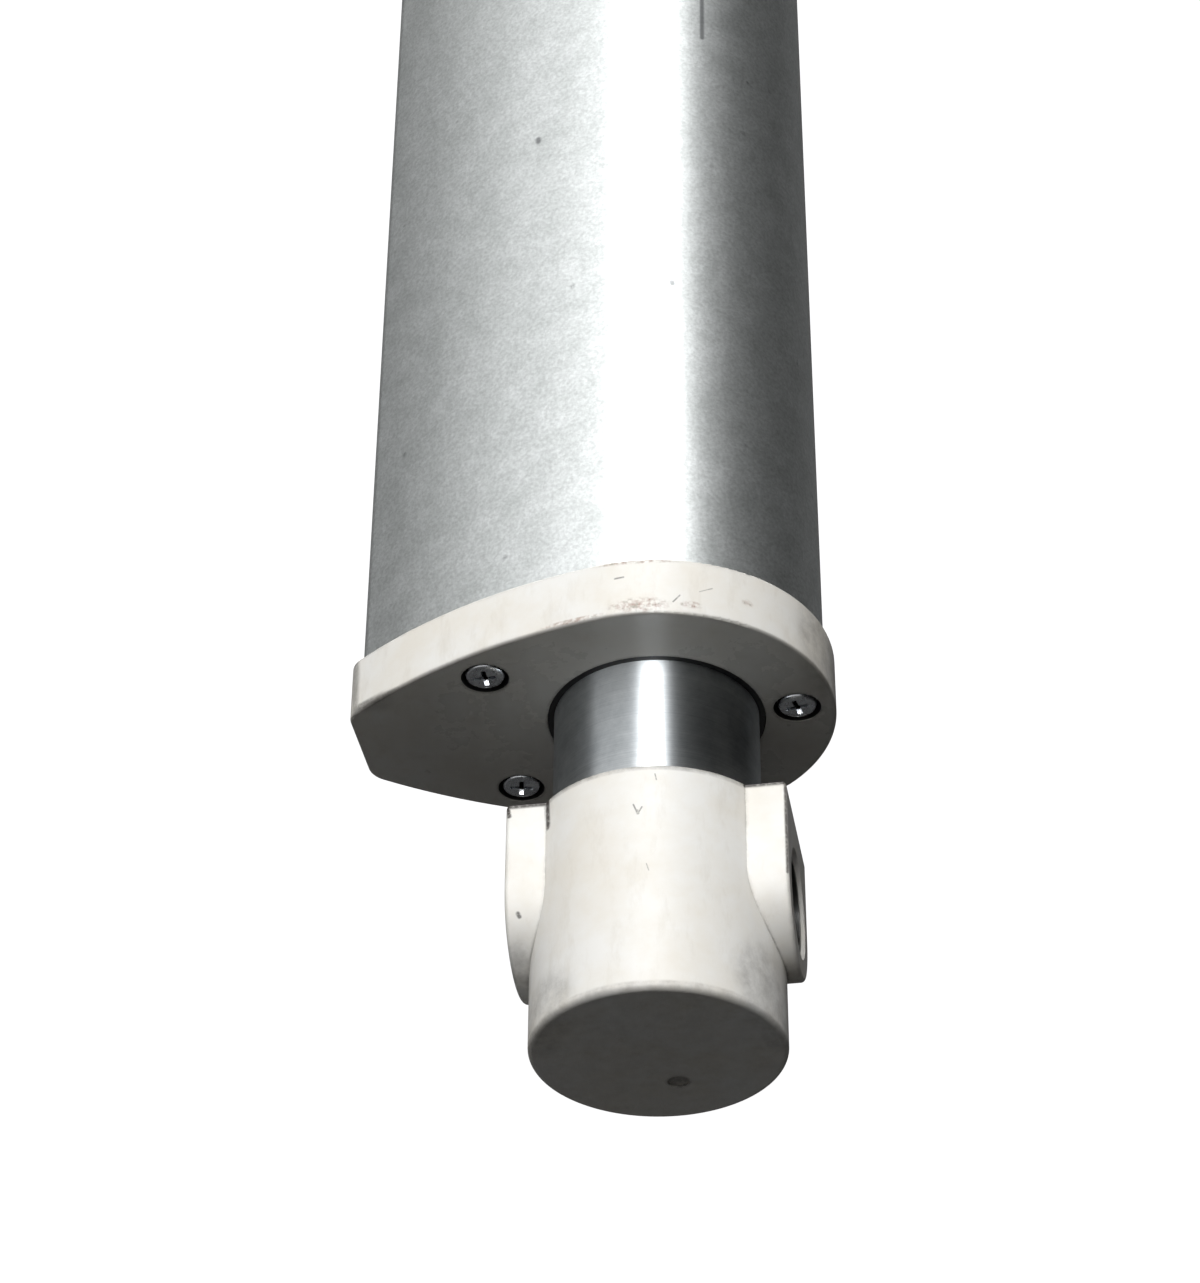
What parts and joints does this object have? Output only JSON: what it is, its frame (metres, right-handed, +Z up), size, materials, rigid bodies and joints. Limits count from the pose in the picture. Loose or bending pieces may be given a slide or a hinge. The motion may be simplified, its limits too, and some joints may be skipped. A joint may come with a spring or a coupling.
{
  "type": "electric linear actuator",
  "caption": "Electric linear actuator: egg-section aluminium tube, moulded end cap and rod head, bright sliding rod, and a motor beside the tube that drives it through a gear train.",
  "frame": {"origin": "centre of the rear pivot bore", "axes": "+X along both pivot bores, -Y towards the rod end, +Z up"},
  "size_m": [0.126, 0.4045, 0.06],
  "materials": {
    "anodised_aluminium": "satin anodised extrusion",
    "white_plastic": "off-white moulded plastic",
    "bright_rod": "turned and polished rod",
    "zinc_screw": "zinc-plated steel screws",
    "black_rubber": "moulded nitrile rubber",
    "acetal": "natural acetal",
    "ground_steel": "ground steel",
    "cast_alloy": "die-cast alloy, tumbled",
    "bronze": "sintered bronze",
    "motor_steel": "drawn and laminated motor steel",
    "copper": "copper and brass",
    "ferrite": "pressed ferrite and graphite",
    "black_plastic": "black moulded plastic",
    "green_board": "coated glass-fibre board"
  },
  "bodies": {
    "housing": {"outer_tube": "anodised_aluminium", "front_cap": "white_plastic", "gear_housing": "white_plastic", "gear_cover": "white_plastic", "motor_cover": "white_plastic", "front_cap_screws": "zinc_screw", "gear_cover_screws": "zinc_screw", "motor_cover_screws": "zinc_screw", "tube_rear_screws": "zinc_screw", "motor_mount_screws": "zinc_screw", "wiper_seal": "black_rubber", "cover_gasket": "black_rubber", "front_guide_bush": "acetal", "bearing_outer_ring": "ground_steel", "idler_pins": "ground_steel", "rear_eye_bush": "ground_steel", "rear_eye": "cast_alloy", "spindle_front_bush": "bronze", "motor_bushes": "bronze", "motor_can": "motor_steel", "socket_contacts": "copper", "motor_magnets": "ferrite", "motor_brushes": "ferrite", "cable_socket": "black_plastic", "limit_switches": "black_plastic", "motor_end_bell": "black_plastic", "switch_board": "green_board"},
    "rod": {"piston_rod": "bright_rod", "rod_head": "white_plastic", "rod_head_bush": "acetal", "spindle_nut": "acetal", "nut_guide": "acetal", "nut_pins": "ground_steel"},
    "spindle": {"spindle": "ground_steel", "spindle_retaining_ring": "ground_steel", "spindle_gear": "acetal", "gear_drive_pin": "ground_steel", "spindle_guide_ring": "acetal", "bearing_inner_ring": "ground_steel"},
    "bearing_cage": {"bearing_balls_and_cage": "ground_steel"},
    "first_idler": {"idler_gear_1": "acetal"},
    "second_idler": {"idler_gear_2": "acetal"},
    "motor_rotor": {"motor_pinion": "ground_steel", "motor_shaft": "ground_steel", "armature_core": "motor_steel", "armature_windings": "copper", "commutator": "copper"},
    "retract_plunger": {"retract_switch_plunger": "black_plastic"},
    "extend_plunger": {"extend_switch_plunger": "black_plastic"}
  },
  "joints": [
    {"name": "rod_slide", "type": "slide", "parent": "housing", "child": "rod", "axis": [0, -1, 0], "range_m": [0, 0.2]},
    {"name": "spindle_spin", "type": "hinge", "parent": "housing", "child": "spindle", "pos_m": [0, 0, 0], "axis": [0, 1, 0], "continuous": true},
    {"name": "cage_spin", "type": "hinge", "parent": "housing", "child": "bearing_cage", "pos_m": [0, 0, 0], "axis": [0, 1, 0], "continuous": true},
    {"name": "idler_2_spin", "type": "hinge", "parent": "housing", "child": "second_idler", "pos_m": [-0.03214, 0, 0.008], "axis": [0, 1, 0], "continuous": true},
    {"name": "idler_1_spin", "type": "hinge", "parent": "housing", "child": "first_idler", "pos_m": [-0.04797, 0, -0.008], "axis": [0, 1, 0], "continuous": true},
    {"name": "motor_spin", "type": "hinge", "parent": "housing", "child": "motor_rotor", "pos_m": [-0.069, 0, 0], "axis": [0, 1, 0], "continuous": true},
    {"name": "retract_switch_press", "type": "slide", "parent": "housing", "child": "retract_plunger", "axis": [-1, 0, 0], "range_m": [0, 0.0008], "stiffness_N_per_m": 600},
    {"name": "extend_switch_press", "type": "slide", "parent": "housing", "child": "extend_plunger", "axis": [-1, 0, 0], "range_m": [0, 0.0008], "stiffness_N_per_m": 600}
  ],
  "couplings": [
    {"joint": "spindle_spin", "follows": "rod_slide", "rad_per_m": 1570.8},
    {"joint": "cage_spin", "follows": "rod_slide", "rad_per_m": 642.6},
    {"joint": "idler_2_spin", "follows": "rod_slide", "rad_per_m": -4833.2},
    {"joint": "idler_1_spin", "follows": "rod_slide", "rad_per_m": 13291},
    {"joint": "motor_spin", "follows": "rod_slide", "rad_per_m": -36551}
  ]
}
